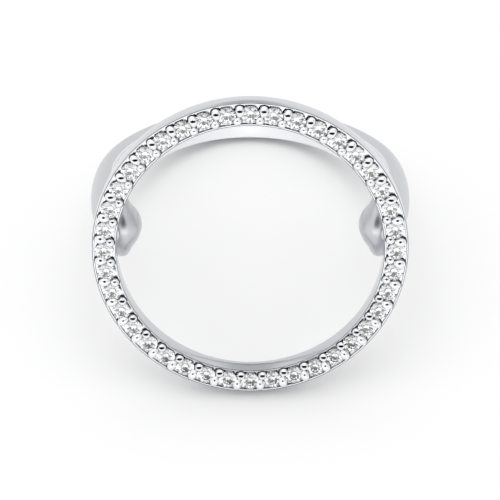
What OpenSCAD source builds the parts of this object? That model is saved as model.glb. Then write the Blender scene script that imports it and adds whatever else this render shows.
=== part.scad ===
// Adjustable open ring: an open circle of forty round brilliants on a plain C-shaped shank.
// The ring is built with its face towards +Z and the finger's axis along Y, then laid at rest.

/* [Circle] */
// Outer diameter of the circle
circle_od = 19; // [18.9:0.1:19.1]
// Width of its face, from the outer edge to the inner edge
face_width = 1.5; // [1.5:0.01:1.52]
// Depth of the circle, from its face to its back
circle_depth = 1.15; // [1.1:0.01:1.4]
// Width of the bright rail along each edge of the face
rail_width = 0.15; // [0.15:0.005:0.16]
// Depth of the floor between the rails, below the face
floor_depth = 0.14; // [0.12:0.01:0.16]

/* [Stones] */
// Number of stones in the row
stone_count = 40; // [36:1:40]
// Diameter of a stone at its girdle
stone_d = 1.1; // [1.06:0.01:1.1]
// Diameter of its table
table_d = 0.6; // [0.5:0.01:0.64]
// Height of its crown, from girdle to table
crown_height = 0.17; // [0.14:0.01:0.18]
// Depth of its pavilion, from girdle to culet
pavilion_depth = 0.48; // [0.4:0.01:0.5]
// Height of its girdle above the face of the circle
girdle_rise = 0.05; // [0.03:0.01:0.07]
// Clearance between a stone and its seat
seat_gap = 0.03; // [0.02:0.005:0.03]

/* [Prong beads] */
// Diameter of the outer bead of each pair
outer_bead_d = 0.66; // [0.64:0.01:0.68]
// Diameter of the inner bead of each pair
inner_bead_d = 0.56; // [0.54:0.01:0.58]
// Distance from the middle of the row to each outer bead
outer_bead_offset = 0.28; // [0.27:0.01:0.29]
// Distance from the middle of the row to each inner bead
inner_bead_offset = 0.34; // [0.33:0.01:0.35]
// Angle by which the inner bead leads the outer one
bead_skew = 1.2; // [1:0.1:1.8]
// Height of each bead's centre above the face
bead_rise = 0.05; // [0.04:0.01:0.06]

/* [Shank] */
// Thickness of the band
band_thick = 1.35; // [1.3:0.05:1.4]
// Radius of the dome on its outer side, across the band
dome_r = 2.6; // [2.55:0.05:2.7]
// Half the width of the band at the front
front_half_width = 2.05; // [2:0.01:2.1]
// Half the width of the band at the back
back_half_width = 0.74; // [0.7:0.01:0.8]
// Height of the band's middle above the middle of the circle
band_rise = 0.6; // [0.5:0.05:0.7]
// Distance from the middle of the ring to where the bend at each shoulder begins
shoulder_x = 7.2; // [7.1:0.05:7.3]
// Outer radius of the bend at each shoulder
shoulder_r = 2.15; // [2.1:0.05:2.2]
// Outer radius of each side
side_r = 16.2; // [16:0.1:16.5]
// Radius of the rounded tips
tip_r = 2.3; // [2.25:0.01:2.35]
// Distance from the middle of the ring to the end of each tip
tip_x = 6.57; // [6.5:0.01:6.6]

/* [Hidden] */

silver = [0.86, 0.87, 0.88];
crystal = [0.93, 0.96, 0.98];

outer_r = circle_od / 2;
inner_r = outer_r - face_width;
row_r = outer_r - face_width / 2;
pitch = 360 / stone_count;

// The stones' cut: eight sides to the table and sixteen points round the girdle
sides = 8;
half_side = 180 / sides;
girdle_r = stone_d / 2;
table_r = table_d / 2;
girdle_thick = 0.03;
table_z = crown_height + girdle_rise;
girdle_top = girdle_rise;
girdle_foot = girdle_top - girdle_thick;
culet_z = girdle_foot - pavilion_depth;
star_spread = 0.62;
star_r = table_r + star_spread * (girdle_r - table_r);
star_share = (star_r * cos(half_side) - table_r) / (girdle_r - table_r);
star_z = table_z - crown_height * star_share;
keel_spread = 0.25;
keel_r = keel_spread * girdle_r;
keel_z = culet_z + pavilion_depth * keel_r * cos(half_side) / girdle_r;

// The shank's outer line in plan: a bend, a side and half the back, three arcs that meet smoothly.
// They meet along directions whose sine and cosine are short decimals, so that their ends agree exactly
joint_sink = 0.12;
crown_z = joint_sink - circle_depth;
side_sin = 0.96;
side_cos = 0.28;
side_start = atan2(side_sin, side_cos);
back_sin = 0.8;
back_cos = -0.6;
back_start = atan2(back_sin, back_cos);
bend_z = crown_z - shoulder_r;
side_x = shoulder_x + (shoulder_r - side_r) * side_sin;
side_z = bend_z + (shoulder_r - side_r) * side_cos;
back_r = side_r + side_x / back_sin;
back_z = side_z + (side_r - back_r) * back_cos;
shank_end_z = back_z - back_r;
bend_inside_x = shoulder_x + shoulder_r - band_thick;
taper_start_z = -3;
taper_rate = (front_half_width - back_half_width) / (taper_start_z - shank_end_z);

// Each tip is cut to a ball, whose middle lies just inside the band
tip_ball_inset = 0.2;
tip_ball_x = tip_x + tip_r;
tip_ball_z = crown_z - band_thick - tip_ball_inset;

// The joint behind the circle at each shoulder
joint_d = 1.1;
joint_depth = 1.8;
joint_inset = 0.15;
joint_x = row_r - joint_inset;

over = 1;
reach = 12;

// The ring rests on the circle's back rim and on the lower edge of the shank's back
back_edge_w = back_half_width + taper_rate * edge_drop(back_half_width);
back_edge_z = shank_end_z + edge_drop(back_edge_w);
lean = atan2(outer_r + band_rise - back_edge_w, -circle_depth - back_edge_z);
rest_height = outer_r * cos(lean) + circle_depth * sin(lean);
footprint_back = (band_rise + back_edge_w) * sin(lean) - back_edge_z * cos(lean);
footprint_front = -outer_r * sin(lean);
rest_shift = (footprint_back + footprint_front) / 2;

// Depth of the band's domed side below its crown, at a distance from its middle
function edge_drop(w) = dome_r - sqrt(pow(dome_r, 2) - pow(w, 2));
function stone_name(k) = str("stone_", k < 10 ? "0" : "", k);
function ring_of_points(count, r, z, start) =
    [for (k = [0:count - 1]) [r * cos(start + k * 360 / count), r * sin(start + k * 360 / count), z]];

// Lays the ring on its side: it leans back onto the circle's rim and the back of the shank
module at_rest() {
    translate([0, -rest_shift, rest_height]) rotate([90 - lean, 0, 0]) children();
}

// The circle's cross-section, with the sunk floor between its rails
module circle_section() {
    difference() {
        translate([inner_r, -circle_depth]) square([face_width, circle_depth]);
        translate([inner_r + rail_width, -floor_depth])
            square([face_width - 2 * rail_width, floor_depth + over]);
    }
}

// A seat follows the stone's outline at a small gap, and opens upwards past the beads
module seat() {
    wide = girdle_r + seat_gap;
    narrow = table_r + seat_gap;
    rotate_extrude($fn = 64)
        polygon([
            [0, culet_z - 2 * seat_gap],
            [wide, girdle_foot - seat_gap],
            [wide, girdle_top + seat_gap],
            [narrow, table_z + seat_gap],
            [narrow, over],
            [0, over]
        ]);
}

// A bead of metal, rooted in the floor between the rails
module bead(d) {
    translate([0, 0, bead_rise]) sphere(d = d, $fn = 48);
}

// A pair of prong beads between two stones
module bead_pair() {
    rotate([0, 0, -bead_skew / 2]) translate([row_r + outer_bead_offset, 0, 0]) bead(outer_bead_d);
    rotate([0, 0, bead_skew / 2]) translate([row_r - inner_bead_offset, 0, 0]) bead(inner_bead_d);
}

// Places a child at stone k, counted clockwise from the top
module at_stone(k) {
    rotate([0, 0, 90 - (k - 1) * pitch]) translate([row_r, 0, 0]) children();
}

module jewelled_circle() {
    difference() {
        union() {
            rotate_extrude($fn = 180) circle_section();
            for (k = [1:stone_count]) rotate([0, 0, 90 - (k - 0.5) * pitch]) bead_pair();
        }
        for (k = [1:stone_count]) at_stone(k) seat();
    }
}

// The band's cross-section with its crown at distance r: flat inside and domed outside
module band_section(r) {
    intersection() {
        translate([r - band_thick, band_rise - front_half_width])
            square([band_thick, 2 * front_half_width]);
        translate([r - dome_r, band_rise]) circle(r = dome_r, $fn = 180);
    }
}

// An arc of the band in plan, of outer radius r, between two headings. It is made a little long,
// and cut where the next arc begins
module band_arc(x, z, r, from, to) {
    translate([x, 0, z]) rotate([-90, 0, 0]) difference() {
        rotate([0, 0, from - 90])
            rotate_extrude(angle = to - from + over, $fn = 180) band_section(r);
        rotate([0, 0, to - 90]) translate([0, 0, -reach]) cube([2 * reach, reach, 2 * reach]);
    }
}

// The straight stretch of the band between the tip and the bend
module band_end() {
    translate([tip_x - over, 0, crown_z]) rotate([0, 90, 0])
        linear_extrude(height = shoulder_x - tip_x + over) mirror([1, 0]) band_section(0);
}

// Narrows the band towards the back, as seen from the side
module taper() {
    rotate([90, 0, 90])
        linear_extrude(height = 2 * reach, center = true)
            polygon([
                [band_rise + front_half_width, 0],
                [band_rise + front_half_width, taper_start_z],
                [band_rise + back_half_width, shank_end_z],
                [band_rise + back_half_width, shank_end_z - over],
                [band_rise - back_half_width, shank_end_z - over],
                [band_rise - back_half_width, shank_end_z],
                [band_rise - front_half_width, taper_start_z],
                [band_rise - front_half_width, 0]
            ]);
}

// Takes away what lies outside the ball at the tip
module tip_rounding() {
    difference() {
        translate([0, band_rise - tip_r - over, bend_z])
            cube([bend_inside_x, 2 * (tip_r + over), shoulder_r + over]);
        translate([tip_ball_x, band_rise, tip_ball_z]) sphere(r = tip_r, $fn = 96);
    }
}

// The joint fills the gap between the circle's back and the bend
module joint() {
    translate([joint_x, band_rise, crown_z - joint_depth])
        cylinder(d = joint_d, h = joint_depth, $fn = 48);
}

module half_shank() {
    difference() {
        intersection() {
            union() {
                band_end();
                band_arc(shoulder_x, bend_z, shoulder_r, 0, side_start);
                band_arc(side_x, side_z, side_r, side_start, back_start);
                band_arc(0, back_z, back_r, back_start, 180);
            }
            taper();
        }
        tip_rounding();
    }
    joint();
}

module ring_body() {
    color(silver) at_rest() {
        jewelled_circle();
        half_shank();
        mirror([1, 0, 0]) half_shank();
    }
}

// A round brilliant: table, stars, kites and girdle facets above, mains and halves below
module brilliant() {
    points = concat(
        ring_of_points(sides, table_r, table_z, 0),
        ring_of_points(sides, star_r, star_z, half_side),
        ring_of_points(2 * sides, girdle_r, girdle_top, 0),
        ring_of_points(2 * sides, girdle_r, girdle_foot, 0),
        ring_of_points(sides, keel_r, keel_z, half_side),
        [[0, 0, culet_z]]
    );
    star = sides;
    top = 2 * sides;
    foot = 4 * sides;
    keel = 6 * sides;
    culet = 7 * sides;
    rim = 2 * sides;
    faces = concat(
        [[for (k = [sides - 1:-1:0]) k]],
        [for (k = [0:sides - 1]) [k, (k + 1) % sides, star + k]],
        [for (k = [0:sides - 1]) [k, star + k, top + 2 * k, star + (k + sides - 1) % sides]],
        [for (k = [0:sides - 1]) [star + k, top + 2 * k + 1, top + 2 * k]],
        [for (k = [0:sides - 1]) [star + k, top + (2 * k + 2) % rim, top + 2 * k + 1]],
        [for (k = [0:rim - 1]) [top + k, top + (k + 1) % rim, foot + (k + 1) % rim, foot + k]],
        [for (k = [0:sides - 1]) [culet, keel + (k + sides - 1) % sides, foot + 2 * k, keel + k]],
        [for (k = [0:sides - 1]) [keel + k, foot + 2 * k, foot + 2 * k + 1]],
        [for (k = [0:sides - 1]) [keel + k, foot + 2 * k + 1, foot + (2 * k + 2) % rim]]
    );
    polyhedron(points = points, faces = faces);
}

module stone(k) {
    color(crystal) at_rest() at_stone(k) brilliant();
}

ring_body();
for (k = [1:stone_count]) stone(k);
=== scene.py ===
import math

import bmesh
import bpy
from mathutils import Matrix, Vector


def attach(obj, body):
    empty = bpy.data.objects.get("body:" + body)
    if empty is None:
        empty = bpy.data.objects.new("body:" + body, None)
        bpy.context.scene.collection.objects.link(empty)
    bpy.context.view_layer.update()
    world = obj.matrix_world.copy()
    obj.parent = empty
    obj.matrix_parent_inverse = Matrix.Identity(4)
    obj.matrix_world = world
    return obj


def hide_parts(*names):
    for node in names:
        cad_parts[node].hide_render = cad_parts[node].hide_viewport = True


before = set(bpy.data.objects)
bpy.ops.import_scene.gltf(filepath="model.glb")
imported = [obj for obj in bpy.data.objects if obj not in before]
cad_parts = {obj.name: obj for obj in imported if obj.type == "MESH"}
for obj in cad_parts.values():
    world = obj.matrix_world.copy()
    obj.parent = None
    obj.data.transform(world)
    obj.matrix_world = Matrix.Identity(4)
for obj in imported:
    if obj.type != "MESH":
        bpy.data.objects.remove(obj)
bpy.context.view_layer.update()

# The ring's sizes in millimetres, in the circle's own directions: X across the circle, Y along the
# finger's axis, Z out of the circle's face, from the middle of the face
MM = 0.001
CIRCLE_R = 9.5
CIRCLE_INSIDE_R = 8.0
CIRCLE_DEPTH = 1.15
RAIL = 0.15
FLOOR_DEPTH = 0.14
# The walls are crowned: drawn in by this much at their edges, through points at these shares of half
# the depth
WALL_CROWN = 0.03
WALL_SHARES = (-1, -0.5, 0, 0.5, 1)
CIRCLE_SIDES = 360

# A hairline cut by the graver runs along each rail, just inside the edge of the face. A face of the
# mesh lies in it when its middle is at half the depth, as near as the tolerance, and it slopes
# The hairline's faces are painted dark: a painted shadow line along each rail
HAIRLINE_INSET = 0.062
HAIRLINE_HALF_WIDTH = 0.013
HAIRLINE_DEPTH = 0.03
HAIRLINE_TOLERANCE = 0.003
HAIRLINE_SLOPE = (0.1, 0.9)

RAIL_ROUNDING = 0.02
RAIL_STEPS = 3
ROW_R = 8.75
STONES = 40
PITCH = 360 / STONES

# The stones' seats: the widest part lies at the girdle, and the mouth opens inside the beads
SEAT_R = 0.58
MOUTH_R = 0.33
SEAT_TOP = 0.08
SEAT_FOOT = -0.01
MOUTH_Z = 0.25
SEAT_POINT = -0.52
SEAT_POINT_SHARE = 0.02
SEAT_SIDES = 48
SEAT_CLEAR = 1

# The grains of metal that hold the stones. Each is an egg, given by its half length along the
# radius, its half width along the row and its height. Below its waist, which lies at a share of the
# height under the middle, a straight stem goes down. It stands in a narrow well
OUTER_GRAIN = (0.37, 0.3, 0.31)
INNER_GRAIN = (0.26, 0.29, 0.27)
OUTER_GRAIN_AT = ROW_R + 0.23
INNER_GRAIN_AT = ROW_R - 0.35
GRAIN_Z = 0.05
GRAIN_SKEW = 0.65
GRAIN_WAIST = 0.55
STEM_FOOT = -0.4
WELL_GAP = 0.05
WELL_FOOT = -0.3
WELL_CLEAR = 0.5
WELL_SIDES = 40
WELL_CONE = 0.03
WELL_CONE_SHARE = 0.8

# The nick that the graver leaves in a grain: its half width, half length and depth, how far it
# lies above the grain's middle, and how far its cutter stands up. It is whole in the grains that
# lie uphill of the stones, smaller at the circle's sides and left out downhill of them, by height as
# a share of the row's radius
# The nicks' faces are painted dark: painted shade for the shadow under each grain's top
NICK = (0.17, 0.075, 0.2)
NICK_LIFT = 0.08
NICK_CLEAR = 0.2
SIDE_NICK = 0.6
WHOLE_NICK_ABOVE = 0.3
NO_NICK_BELOW = -0.4

# The band: a D section, flat inside, led round three arcs that meet smoothly
BAND_THICK = 1.35
DOME_R = 2.6
FRONT_HALF_WIDTH = 2.05
BACK_HALF_WIDTH = 0.74
BAND_RISE = 0.6
CROWN_Z = -1.03
BEND_X = 7.2
BEND_R = 2.15
BEND_Z = CROWN_Z - BEND_R
SIDE_HEADING = math.atan2(0.96, 0.28)
BACK_HEADING = math.atan2(0.8, -0.6)
SIDE_R = 16.2
SIDE_X = BEND_X + (BEND_R - SIDE_R) * 0.96
SIDE_Z = BEND_Z + (BEND_R - SIDE_R) * 0.28
BACK_R = SIDE_R + SIDE_X / 0.8
BACK_Z = SIDE_Z - 0.6 * (SIDE_R - BACK_R)
TAPER_TOP = -3
TAPER_END = BACK_Z - BACK_R

# The middle of the finger hole, and the cosine below which a face looks towards it
FINGER_Z = -10.5
FINGER_SIDE = -0.5

# The section's rounded edges, and the points it is drawn through. The outer rounding takes at most a
# share of the side
OUTER_ROUNDING = 0.4
INNER_ROUNDING = 0.08
ROUNDED_SIDE = 0.7
DOME_STEPS = 10
OUTER_STEPS = 8
INNER_STEPS = 4
FLAT_SHARES = (0.6, 0.3)

# The rounded tips: the section shrinks towards a line inside the band as it nears the tip, through
# so many steps of a turn in degrees. The underside narrows faster, by a power
TIP_X = 6.57
TIP_R = 2.05
TIP_LINE = 1.55
TIP_STEPS = 28
TIP_TURN = 88
TIP_UNDERSIDE = 1.3

# The solder joints: a round post behind each shoulder, whose end widens in steps of rise and growth
JOINT_R = 0.55
JOINT_LENGTH = 1.3
JOINT_X = 8.6
JOINT_Z = -2.1
JOINT_SIDES = 48
JOINT_FILLET = ((0.12, 1.03), (0.1, 1.07), (0.06, 1.1), (0.03, 1.08))

# Faces that meet at less than this are shaded as one, in degrees: plain pieces, and the grains
PLAIN_SHADING = 30
GRAIN_SHADING = 35

# Points of a mesh that lie nearer than this are merged, and a point found by its place may be as far
# from it as the second
MERGED = 0.0004
FOUND = 0.002
LEVEL_FOUND = 0.001

# The ring lies on its side: it leans back onto the circle's rim and the back of the shank
LEAN = 26.3143
CIRCLE_PLACE = Vector((0, -7.1838, 9.0254)) * MM
LEANED_BACK = Matrix.Rotation(math.radians(90 - LEAN), 4, "X")
AT_REST = Matrix.Translation(CIRCLE_PLACE) @ LEANED_BACK @ Matrix.Scale(MM, 4)

# A face looks up or down when its normal's Z passes this
LEVEL = 0.9


# Working on a mesh. Every piece is modelled in millimetres, in the circle's own directions

def put_down():
    if bpy.context.mode != "OBJECT":
        bpy.ops.object.mode_set(mode="OBJECT")
    bpy.ops.object.select_all(action="DESELECT")


def take_up(piece):
    put_down()
    piece.select_set(True)
    bpy.context.view_layer.objects.active = piece


def name_new_piece(name):
    piece = bpy.context.active_object
    piece.name = name
    piece.data.name = name
    take_up(piece)
    bpy.ops.object.transform_apply(location=True, rotation=True, scale=True)
    return piece


def open_mesh(piece, kind="VERT"):
    take_up(piece)
    bpy.ops.object.mode_set(mode="EDIT")
    bpy.ops.mesh.select_mode(type=kind)
    bpy.ops.mesh.select_all(action="SELECT")


def pick(piece, kind, fits):
    """In edit mode, selects only the vertices, edges or faces that fit."""
    bpy.ops.mesh.select_mode(type=kind)
    bpy.ops.mesh.select_all(action="DESELECT")
    mesh = bmesh.from_edit_mesh(piece.data)
    for item in {"VERT": mesh.verts, "EDGE": mesh.edges, "FACE": mesh.faces}[kind]:
        if fits(item):
            item.select_set(True)
    mesh.select_flush_mode()
    bmesh.update_edit_mesh(piece.data)


def looks_up(face):
    return face.normal.z > LEVEL


def looks_down(face):
    return face.normal.z < -LEVEL


def draw_out(shift=(0, 0, 0), size=(1, 1, 1), about=(0, 0, 0)):
    """Extrudes what is selected, moves it, and then scales it about a point."""
    bpy.ops.mesh.extrude_region_move(TRANSFORM_OT_translate={"value": shift})
    bpy.ops.transform.resize(value=size, center_override=about)


def close_up(piece):
    """Merges doubles and turns every face outwards."""
    open_mesh(piece)
    bpy.ops.mesh.remove_doubles(threshold=MERGED)
    bpy.ops.mesh.normals_make_consistent(inside=False)
    put_down()


def finish_with(piece, kind, **settings):
    """Adds a modifier with its settings and applies it."""
    take_up(piece)
    modifier = piece.modifiers.new(kind.lower(), kind)
    for name, value in settings.items():
        setattr(modifier, name, value)
    bpy.ops.object.modifier_apply(modifier=modifier.name)


def soften_shading(piece, degrees):
    """Smooths the shading up to an angle, and keeps the broad faces flat beside their rounded edges."""
    take_up(piece)
    bpy.ops.object.shade_smooth_by_angle(angle=math.radians(degrees))
    finish_with(piece, "WEIGHTED_NORMAL", mode="FACE_AREA", weight=50, keep_sharp=True)


def copies_round(piece, angles):
    """Copies a piece round the circle's axis, each with its own mesh, and joins the copies."""
    made = []
    for angle in angles:
        copy = piece.copy()
        copy.data = piece.data.copy()
        copy.matrix_world = Matrix.Rotation(math.radians(angle), 4, "Z")
        bpy.context.scene.collection.objects.link(copy)
        made.append(copy)
    bpy.data.objects.remove(piece)
    return join(made)


def join(pieces):
    take_up(pieces[0])
    for piece in pieces:
        piece.select_set(True)
    bpy.ops.object.join()
    joined = bpy.context.active_object
    bpy.ops.object.transform_apply(location=True, rotation=True, scale=True)
    return joined


def give_finishes(piece, *materials):
    piece.data.materials.clear()
    for material in materials:
        piece.data.materials.append(material)


def finish_faces(piece, number, fits):
    """Gives the faces that fit the finish of that number in the piece's list."""
    open_mesh(piece, "FACE")
    pick(piece, "FACE", fits)
    piece.active_material_index = number
    bpy.ops.object.material_slot_assign()
    put_down()


def lay_at_rest(piece, name):
    """Brings a finished piece from millimetres to metres and to its place at rest."""
    piece.name = name
    piece.data.name = name
    piece.matrix_world = AT_REST
    take_up(piece)
    bpy.ops.object.transform_apply(location=True, rotation=True, scale=True)
    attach(piece, "root")
    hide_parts("ring_body")


# Finishes

def linear(hex_colour, alpha=1.0):
    channels = [int(hex_colour[i:i + 2], 16) / 255 for i in (0, 2, 4)]
    return [c / 12.92 if c <= 0.04045 else ((c + 0.055) / 1.055) ** 2.4 for c in channels] + [alpha]


def add_node(tree, kind, settings=None, links=None):
    """Adds a node. A setting that names or numbers one of its sockets goes to that socket."""
    node = tree.nodes.new(kind)
    sockets = {socket.name: socket for socket in reversed(node.inputs)}
    sockets.update(enumerate(node.inputs))
    for name, value in (settings or {}).items():
        if name in sockets:
            sockets[name].default_value = value
        else:
            setattr(node, name, value)
    for name, source in (links or {}).items():
        tree.links.new(source, sockets[name])
    return node


def new_material(name):
    material = bpy.data.materials.new(name)
    material.use_nodes = True
    tree = material.node_tree
    tree.nodes.clear()
    return material, tree


def polished_silver(name, colour, smooth, rough, streak_mm, ripple_mm, ripple_height_mm):
    """Silver under rhodium. Its roughness varies between two values, in fine polishing streaks."""
    material, tree = new_material(name)
    place = add_node(tree, "ShaderNodeTexCoord")
    along = add_node(tree, "ShaderNodeMapping", {"Scale": (0.3, 1.0, 1.0)},
                     {"Vector": place.outputs["Object"]})
    streaks = add_node(tree, "ShaderNodeTexNoise", {"Scale": 1 / (streak_mm * MM), "Detail": 3.0},
                       {"Vector": along.outputs["Vector"]})
    sheen = add_node(tree, "ShaderNodeMapRange", {"To Min": smooth, "To Max": rough},
                     {"Value": streaks.outputs["Fac"]})
    ripples = add_node(tree, "ShaderNodeTexNoise", {"Scale": 1 / (ripple_mm * MM), "Detail": 1.0},
                       {"Vector": place.outputs["Object"]})
    relief = add_node(tree, "ShaderNodeBump", {"Strength": 1.0, "Distance": ripple_height_mm * MM},
                      {"Height": ripples.outputs["Fac"]})
    metal = add_node(tree, "ShaderNodeBsdfPrincipled", {"Base Color": linear(colour), "Metallic": 1.0},
                     {"Roughness": sheen.outputs["Result"], "Normal": relief.outputs["Normal"]})
    add_node(tree, "ShaderNodeOutputMaterial", None, {"Surface": metal.outputs["BSDF"]})
    return material


# Rhodium-plated sterling silver, buffed to a soft shine: neutral, a little darker than bare silver
buffed = polished_silver("rhodium_plated_silver_buffed", "C5C7CA", 0.26, 0.32, 0.12, 1.5, 0.0004)
# The inside of the band, which shows nearly white through the circle: painted brighter than the outside,
# a painted highlight for the bright front it reflects
bright_painted_inside = polished_silver("rhodium_plated_silver_inside_painted_bright", "F2F3F5",
                                  0.3, 0.34, 0.12, 1.5, 0.0004)
# The same plating on the circle, cut bright by the setter's tool: crisper than the buffed band
bright_cut = polished_silver("rhodium_plated_silver_bright_cut", "CDCFD2", 0.07, 0.11, 0.06, 0.5, 0.0004)
# The grains, burnished round by a beading tool: small clear mirrors, their colour painted near white,
# a painted highlight brighter than the same plating on the circle
burnished_painted_white = polished_silver("rhodium_plated_silver_burnished_and_painted_white", "F4F5F7", 0.02, 0.05, 0.05, 0.3, 0.0004)
# The stones' seats, left matt as the burr cut them, and painted darker grey: painted shade under the stones
burr_matt_painted_shade = polished_silver("silver_matt_burr_cut_painted_shade", "8C8E92", 0.35, 0.5, 0.05, 0.3, 0.001)
# The bottoms of the wells, grooves and nicks, and the grains' undersides: painted dark, painted shade for
# the shadow in these crevices
crevice_shade_paint = polished_silver("silver_painted_dark_as_crevice_shade", "3A3B3E", 0.3, 0.45, 0.05, 0.3, 0.001)


def brilliant_cut_zirconia():
    """Colourless cubic zirconia with polished facets: clear, and bent strongly by its high index."""
    material, tree = new_material("cubic_zirconia_brilliant_cut")
    place = add_node(tree, "ShaderNodeTexCoord")
    # Faint polishing haze, a few hundredths of a millimetre across
    haze = add_node(tree, "ShaderNodeTexNoise", {"Scale": 1 / (0.04 * MM), "Detail": 2.0},
                    {"Vector": place.outputs["Object"]})
    gloss = add_node(tree, "ShaderNodeMapRange", {"To Min": 0.0, "To Max": 0.03},
                     {"Value": haze.outputs["Fac"]})
    stone = add_node(tree, "ShaderNodeBsdfPrincipled",
                     {"Base Color": linear("FBFCFD"), "IOR": 2.16, "Transmission Weight": 1.0},
                     {"Roughness": gloss.outputs["Result"]})
    add_node(tree, "ShaderNodeOutputMaterial", None, {"Surface": stone.outputs["BSDF"]})
    return material


zirconia = brilliant_cut_zirconia()


def lies_at(vert, corner):
    """Whether a point of a turned mesh lies at a corner of its profile, given as radius and Z."""
    return abs(math.hypot(vert.co.x, vert.co.y) - corner[0]) + abs(vert.co.z - corner[1]) < FOUND


def weigh_edges(piece, fits):
    """Marks the edges that a bevel rounds."""
    weights = piece.data.attributes.new("bevel_weight_edge", "FLOAT", "EDGE")
    mesh = bmesh.new()
    mesh.from_mesh(piece.data)
    for edge in mesh.edges:
        weights.data[edge.index].value = 1.0 if fits(edge) else 0.0
    mesh.free()


# The open circle: its wall, rails and sunk floor are drawn out of one round edge, step by step

def hairline(r):
    return [(r - HAIRLINE_HALF_WIDTH, 0), (r, -HAIRLINE_DEPTH), (r + HAIRLINE_HALF_WIDTH, 0)]


def in_hairline(face):
    middle = face.calc_center_median().z
    lowest = min(vert.co.z for vert in face.verts)
    return (abs(middle + HAIRLINE_DEPTH / 2) < HAIRLINE_TOLERANCE
            and lowest > -HAIRLINE_DEPTH - LEVEL_FOUND
            and HAIRLINE_SLOPE[0] < abs(face.normal.z) < HAIRLINE_SLOPE[1])


def turn_circle():
    inner_wall = [(CIRCLE_INSIDE_R + WALL_CROWN * t * t, (t - 1) * CIRCLE_DEPTH / 2) for t in WALL_SHARES]
    outer_wall = [(CIRCLE_R - WALL_CROWN * t * t, (t - 1) * CIRCLE_DEPTH / 2)
                  for t in reversed(WALL_SHARES)]
    inside, outside = CIRCLE_INSIDE_R + RAIL, CIRCLE_R - RAIL
    steps = [
        *inner_wall,
        *hairline(CIRCLE_INSIDE_R + HAIRLINE_INSET),
        (inside, 0),
        (inside, -FLOOR_DEPTH),
        (outside, -FLOOR_DEPTH),
        (outside, 0),
        *hairline(CIRCLE_R - HAIRLINE_INSET),
        *outer_wall,
        inner_wall[0],
    ]
    put_down()
    start_r, start_z = steps[0]
    bpy.ops.mesh.primitive_circle_add(vertices=CIRCLE_SIDES, radius=start_r, location=(0, 0, start_z))
    circle = name_new_piece("circle")
    open_mesh(circle, "EDGE")
    for (r, z), (next_r, next_z) in zip(steps, steps[1:]):
        draw_out((0, 0, next_z - z), (next_r / r, next_r / r, 1))
    close_up(circle)
    corners = [inner_wall[0], inner_wall[-1], (inside, 0), (inside, -FLOOR_DEPTH),
               (outside, -FLOOR_DEPTH), (outside, 0), outer_wall[0], outer_wall[-1]]
    weigh_edges(circle, lambda edge: any(
        all(lies_at(vert, corner) for vert in edge.verts) for corner in corners))
    finish_with(circle, "BEVEL", width=RAIL_ROUNDING, segments=RAIL_STEPS, limit_method="WEIGHT")
    give_finishes(circle, bright_cut, crevice_shade_paint)
    # The hairlines' faces are painted dark: a painted shadow line along each rail
    finish_faces(circle, 1, in_hairline)
    return circle


# A cutter in the shape of one seat, copied round the circle

def seat_cutters():
    put_down()
    bpy.ops.mesh.primitive_cylinder_add(vertices=SEAT_SIDES, radius=SEAT_R, depth=(SEAT_TOP - SEAT_FOOT),
                                        location=(ROW_R, 0, (SEAT_TOP + SEAT_FOOT) / 2))
    cutter = name_new_piece("seat_cutter")
    open_mesh(cutter)
    pick(cutter, "FACE", looks_up)
    narrowing = MOUTH_R / SEAT_R
    draw_out((0, 0, MOUTH_Z - SEAT_TOP), (narrowing, narrowing, 1), (ROW_R, 0, MOUTH_Z))
    draw_out((0, 0, SEAT_CLEAR))
    pick(cutter, "FACE", looks_down)
    draw_out((0, 0, SEAT_POINT - SEAT_FOOT), (SEAT_POINT_SHARE, SEAT_POINT_SHARE, 1),
             (ROW_R, 0, SEAT_POINT))
    close_up(cutter)
    return copies_round(cutter, [k * PITCH for k in range(STONES)])


# A burnished grain of each size: an egg, drawn down into a stem. It is copied into the gaps between
# the stones

def pair_angles(turn):
    return [(k + 0.5) * PITCH + turn for k in range(STONES)]


def grain(egg, at):
    put_down()
    bpy.ops.mesh.primitive_uv_sphere_add(segments=28, ring_count=20, radius=1,
                                         location=(at, 0, GRAIN_Z), scale=egg)
    piece = name_new_piece("grain")
    open_mesh(piece)
    waist = GRAIN_Z - GRAIN_WAIST * egg[2]
    bpy.ops.mesh.bisect(plane_co=(0, 0, waist), plane_no=(0, 0, -1), use_fill=True, clear_outer=True)
    pick(piece, "FACE", lambda f: looks_down(f) and abs(f.calc_center_median().z - waist) < LEVEL_FOUND)
    draw_out((0, 0, STEM_FOOT - waist))
    close_up(piece)
    return piece


def well_cutter(egg, at):
    """A cutter a little wider than a grain, which leaves a narrow well round it; its faces are painted
    dark, as painted shade.
    """
    top = GRAIN_Z + WELL_CLEAR
    put_down()
    bpy.ops.mesh.primitive_cylinder_add(vertices=WELL_SIDES, radius=1, depth=1,
                                        location=(at, 0, (top + WELL_FOOT) / 2),
                                        scale=(egg[0] + WELL_GAP, egg[1] + WELL_GAP, top - WELL_FOOT))
    cutter = name_new_piece("well_cutter")
    open_mesh(cutter)
    pick(cutter, "FACE", looks_down)
    draw_out((0, 0, -WELL_CONE), (WELL_CONE_SHARE, WELL_CONE_SHARE, 1), (at, 0, WELL_FOOT))
    close_up(cutter)
    give_finishes(cutter, crevice_shade_paint)
    return cutter


def nick_size(uphill):
    if uphill > WHOLE_NICK_ABOVE:
        return 1
    return SIDE_NICK if uphill > NO_NICK_BELOW else 0


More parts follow.
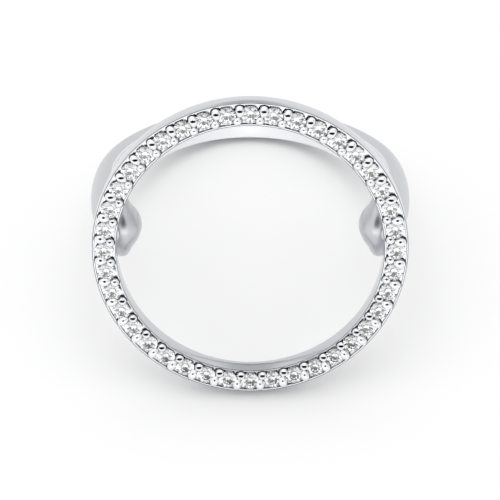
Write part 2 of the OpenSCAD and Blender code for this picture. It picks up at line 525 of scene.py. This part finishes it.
def nick_cutters(at, turn, egg, side):
    """The graver's nicks in one row of grains. They lie level, on the side of each grain that looks up."""
    cutters = []
    for angle in pair_angles(turn):
        height = math.sin(math.radians(angle))
        size = nick_size(side * height)
        if not size:
            continue
        put_down()
        place = (at * math.cos(math.radians(angle)), at * height + NICK_LIFT / size, GRAIN_Z + egg[2])
        bpy.ops.mesh.primitive_uv_sphere_add(segments=16, ring_count=10, radius=1, location=place,
                                             scale=[size * half for half in NICK])
        cutters.append(name_new_piece("nick_cutter"))
        open_mesh(cutters[-1])
        bpy.ops.mesh.bisect(plane_co=place, plane_no=(0, 0, 1), use_fill=True, clear_outer=True)
        pick(cutters[-1], "FACE", looks_up)
        draw_out((0, 0, NICK_CLEAR))
        close_up(cutters[-1])
    cutter = join(cutters)
    give_finishes(cutter, crevice_shade_paint)
    return cutter


# The band: D sections with rounded edges, lofted from one tip round the back to the other. Each follows
# the taper, which no one spin can give

def half_width(z):
    taper = (TAPER_TOP - z) / (TAPER_TOP - TAPER_END)
    return FRONT_HALF_WIDTH - (FRONT_HALF_WIDTH - BACK_HALF_WIDTH) * max(0, taper)


def dome_drop(w):
    return DOME_R - math.sqrt(DOME_R ** 2 - w ** 2)


def rounded(start, corner, end, steps):
    """The points of a rounded corner, its start and end among them."""
    shares = [k / steps for k in range(steps + 1)]
    return [tuple((1 - t) ** 2 * a + 2 * t * (1 - t) * b + t * t * c for a, b, c in zip(start, corner, end))
            for t in shares]


def band_section(half):
    """The section's points as distances across the band and depths below its crown."""
    edge = dome_drop(half)
    side = BAND_THICK - edge
    dome_end = half - OUTER_ROUNDING
    side_start = edge + min(OUTER_ROUNDING, ROUNDED_SIDE * side)
    dome = [dome_end * k / DOME_STEPS for k in range(DOME_STEPS)]
    points = [(w, dome_drop(w)) for w in dome]
    points += rounded((dome_end, dome_drop(dome_end)), (half, edge), (half, side_start), OUTER_STEPS)
    points += rounded((half, BAND_THICK - INNER_ROUNDING), (half, BAND_THICK),
                      (half - INNER_ROUNDING, BAND_THICK), INNER_STEPS)
    points += [(half * share, BAND_THICK) for share in FLAT_SHARES]
    return points + [(0, BAND_THICK)] + [(-w, depth) for w, depth in reversed(points[1:])]


def band_ring(x, z, r, heading, width=1, depth=1, shift=0):
    """The section at one heading, shrunk across the band and towards the line inside the tip."""
    outwards = Vector((math.sin(heading), 0, math.cos(heading)))
    crown = Vector((x + shift, BAND_RISE, z)) + r * outwards
    ring = []
    for w, below in band_section(half_width(crown.z)):
        place = crown - outwards * (TIP_LINE + (below - TIP_LINE) * depth)
        wider = half_width(place.z) / half_width(crown.z)
        narrowing = width if w > 0 else width ** TIP_UNDERSIDE
        ring.append(place + Vector((0, w * wider * narrowing, 0)))
    return ring


def tip_rings():
    middle_x = TIP_X + TIP_R
    rings = []
    for step in range(TIP_STEPS + 1):
        turn = math.radians(TIP_TURN) * step / TIP_STEPS
        x = middle_x - TIP_R * math.sin(turn)
        heading = math.asin(max(0, x - BEND_X) / BEND_R)
        width = math.cos(turn)
        shift = min(0, x - BEND_X)
        rings.append(band_ring(BEND_X, BEND_Z, BEND_R, heading, width, math.sqrt(width), shift))
    return rings


def faces_finger(face):
    middle = face.calc_center_median()
    outwards = Vector((middle.x, 0, middle.z - FINGER_Z)).normalized()
    return face.normal.dot(outwards) < FINGER_SIDE


def model_band():
    bend_start = math.asin((TIP_X + TIP_R - BEND_X) / BEND_R)
    rings = list(reversed(tip_rings()))
    for x, z, r, start, end, steps in (
        (BEND_X, BEND_Z, BEND_R, bend_start, SIDE_HEADING, 12),
        (SIDE_X, SIDE_Z, SIDE_R, SIDE_HEADING, BACK_HEADING, 40),
        (0, BACK_Z, BACK_R, BACK_HEADING, math.pi, 32),
    ):
        rings += [band_ring(x, z, r, start + (end - start) * k / steps) for k in range(1, steps + 1)]
    rings += [[Vector((-p.x, p.y, p.z)) for p in ring] for ring in reversed(rings[:-1])]
    mesh = bmesh.new()
    loops = [[mesh.verts.new(p) for p in ring] for ring in rings]
    for loop, following in zip(loops, loops[1:]):
        for k in range(len(loop)):
            mesh.faces.new((loop[k - 1], loop[k], following[k], following[k - 1]))
    for loop in (loops[0], loops[-1]):
        tip = mesh.verts.new(sum((v.co for v in loop), Vector()) / len(loop))
        for k in range(len(loop)):
            mesh.faces.new((loop[k - 1], loop[k], tip))
    data = bpy.data.meshes.new("band")
    mesh.to_mesh(data)
    mesh.free()
    band = bpy.data.objects.new("band", data)
    bpy.context.scene.collection.objects.link(band)
    close_up(band)
    return band


# The solder joint at each shoulder, with a small fillet where it meets the circle's back

def solder_joints():
    joints = []
    for side in (1, -1):
        put_down()
        bpy.ops.mesh.primitive_cylinder_add(vertices=JOINT_SIDES, radius=JOINT_R, depth=JOINT_LENGTH,
                                            location=(side * JOINT_X, BAND_RISE, JOINT_Z))
        joint = name_new_piece("solder_joint")
        open_mesh(joint)
        pick(joint, "FACE", looks_up)
        for rise, wider in JOINT_FILLET:
            draw_out((0, 0, rise), (wider, wider, 1), (side * JOINT_X, BAND_RISE, 0))
        close_up(joint)
        joints.append(joint)
    return join(joints)


def cut(piece, cutter):
    """Cuts a piece. The new faces take the cutter's finish, where it has one."""
    finish_with(piece, "BOOLEAN", operation="DIFFERENCE", solver="EXACT", object=cutter,
                material_mode="TRANSFER")


# Putting the ring together

circle = turn_circle()
seats = seat_cutters()
# The seats' faces in the circle are painted darker grey: painted shade under the stones
give_finishes(seats, burr_matt_painted_shade)
cut(circle, seats)
# The grains' undersides, where they grip the stones, are painted dark: painted shade that shows through the
# stones as dark outlines
give_finishes(seats, crevice_shade_paint)
rows = []
# The outer grains lie uphill of the stones in the circle's top half, the inner ones in its bottom half
for egg, at, side in ((OUTER_GRAIN, OUTER_GRAIN_AT, 1), (INNER_GRAIN, INNER_GRAIN_AT, -1)):
    turn = -side * GRAIN_SKEW
    well = copies_round(well_cutter(egg, at), pair_angles(turn))
    cut(circle, well)
    row = copies_round(grain(egg, at), pair_angles(turn))
    # The grains are painted near white, a painted highlight, and their cut faces dark, painted shade
    give_finishes(row, burnished_painted_white, crevice_shade_paint)
    nicks = nick_cutters(at, turn, egg, side)
    for cutter in (seats, nicks):
        cut(row, cutter)
    for cutter in (well, nicks):
        bpy.data.objects.remove(cutter)
    rows.append(row)
beads = join(rows)
bpy.data.objects.remove(seats)
band = model_band()
joints = solder_joints()
give_finishes(joints, buffed)
give_finishes(band, buffed, bright_painted_inside)
# The band's inside, towards the finger, is painted near white: a painted highlight
finish_faces(band, 1, lambda f: faces_finger(f) and f.calc_center_median().z < TAPER_TOP)

soften_shading(circle, PLAIN_SHADING)
soften_shading(beads, GRAIN_SHADING)
soften_shading(band, PLAIN_SHADING)
soften_shading(joints, PLAIN_SHADING)
lay_at_rest(circle, "open_circle")
lay_at_rest(beads, "setting_grains")
lay_at_rest(band, "shank")
lay_at_rest(joints, "solder_joints")

for name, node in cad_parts.items():
    if name.startswith("stone_"):
        node.data.materials.clear()
        node.data.materials.append(zirconia)


# The studio, in metres and watts: a plain white floor, a soft light from above that no metal
# mirrors, and a pale tent all round
FLOOR_SIDE = 1.2
SOFTBOX_ACROSS = 0.5
SOFTBOX_POWER = 0.56
SOFTBOX_PLACE = (0, 0.02, 0.6)

put_down()
bpy.ops.mesh.primitive_plane_add(size=FLOOR_SIDE, location=(0, 0, 0))
floor = bpy.context.active_object
floor.name = "floor"
paper, tree = new_material("white_card_floor")
card = add_node(tree, "ShaderNodeBsdfPrincipled", {"Base Color": linear("F6F6F6"), "Roughness": 0.9,
                                                   "Specular IOR Level": 0.1})
add_node(tree, "ShaderNodeOutputMaterial", None, {"Surface": card.outputs["BSDF"]})
floor.data.materials.append(paper)

light = bpy.data.lights.new("overhead_softbox", "AREA")
light.shape = "DISK"
light.size = SOFTBOX_ACROSS
light.energy = SOFTBOX_POWER
softbox = bpy.data.objects.new("overhead_softbox", light)
bpy.context.scene.collection.objects.link(softbox)
softbox.location = SOFTBOX_PLACE
softbox.visible_glossy = False

# The camera looks down at the circle's middle, 24.5 degrees above the way its face looks. It is
# shifted a little aside and up, in millimetres, to where the ring lies in the photograph
CAMERA_ABOVE_FACE = 24.5
CAMERA_ELEVATION = math.radians(CAMERA_ABOVE_FACE + LEAN)
CAMERA_DISTANCE = 143.6 * MM
CAMERA_ASIDE = -0.012
CAMERA_UP = 0.06
SENSOR_WIDTH = 36
FOCAL_LENGTH = 172.8
towards_camera = Vector((0, -math.cos(CAMERA_ELEVATION), math.sin(CAMERA_ELEVATION)))
lens = bpy.data.cameras.new("camera")
lens.sensor_width = SENSOR_WIDTH
lens.lens = FOCAL_LENGTH
lens.clip_start = 0.01
lens.clip_end = 20
camera = bpy.data.objects.new("camera", lens)
bpy.context.scene.collection.objects.link(camera)
camera.rotation_euler = (math.pi / 2 - CAMERA_ELEVATION, 0, 0)
upwards = Vector((0, math.sin(CAMERA_ELEVATION), math.cos(CAMERA_ELEVATION)))
shift = Vector((CAMERA_ASIDE, 0, 0)) * MM + upwards * CAMERA_UP * MM
camera.location = CIRCLE_PLACE + towards_camera * CAMERA_DISTANCE + shift
bpy.context.scene.camera = camera

world = bpy.data.worlds.new("pale_tent")
bpy.context.scene.world = world
world.use_nodes = True
tent = world.node_tree
tent.nodes.clear()
direction = add_node(tent, "ShaderNodeTexCoord")


def towards(across, elevation):
    """The direction that lies so many degrees to the right of the front, and so many above the floor."""
    a, e = math.radians(across), math.radians(elevation)
    return (math.sin(a) * math.cos(e), -math.cos(a) * math.cos(e), math.sin(e))


def panel(glow, across, elevation, inside, outside, brightness):
    """Adds to the glow a round panel of the tent, which fades between two angles from its middle."""
    nearness = add_node(tent, "ShaderNodeVectorMath",
                        {"operation": "DOT_PRODUCT", 1: towards(across, elevation)},
                        {0: direction.outputs["Generated"]})
    shape = add_node(tent, "ShaderNodeMapRange",
                     {"interpolation_type": "SMOOTHSTEP", "From Min": math.cos(math.radians(outside)),
                      "From Max": math.cos(math.radians(inside)), "To Min": 0.0, "To Max": brightness},
                     {"Value": nearness.outputs["Value"]})
    return add_node(tent, "ShaderNodeMath", {"operation": "ADD"},
                    {0: glow, 1: shape.outputs["Result"]}).outputs["Value"]


# The tent's panels: where each is, across and up, how far it is whole and where it ends, in degrees,
# and its brightness. A dark one takes light away
TENT = 0.91
TENT_AT_LEAST = 0.05
PANELS = (
    # A strip light low in front, and the pale front of the tent
    (0, 2, 10, 34, 0.6),
    (0, 0, 30, 85, 0.25),
    # The light behind and above
    (180, 75, 20, 65, 0.3),
    # The dark foot of the backdrop
    (180, 4, 4, 14, -0.27),
    # The tent's right side, a little in shade
    (75, 40, 15, 60, -0.16),
    # The dark opening that the tent has in front, which gives the stones their dark facets
    (0, 38, 14, 25, -1.3),
)

base = add_node(tent, "ShaderNodeValue")
base.outputs["Value"].default_value = TENT
glow = base.outputs["Value"]
for place_and_brightness in PANELS:
    glow = panel(glow, *place_and_brightness)
lit = add_node(tent, "ShaderNodeMath", {"operation": "MAXIMUM", 1: TENT_AT_LEAST}, {0: glow})
backdrop = add_node(tent, "ShaderNodeBackground", {"Color": (1, 1, 1, 1)},
                    {"Strength": lit.outputs["Value"]})
add_node(tent, "ShaderNodeOutputWorld", None, {"Surface": backdrop.outputs["Background"]})

bpy.context.scene.view_settings.view_transform = "Standard"
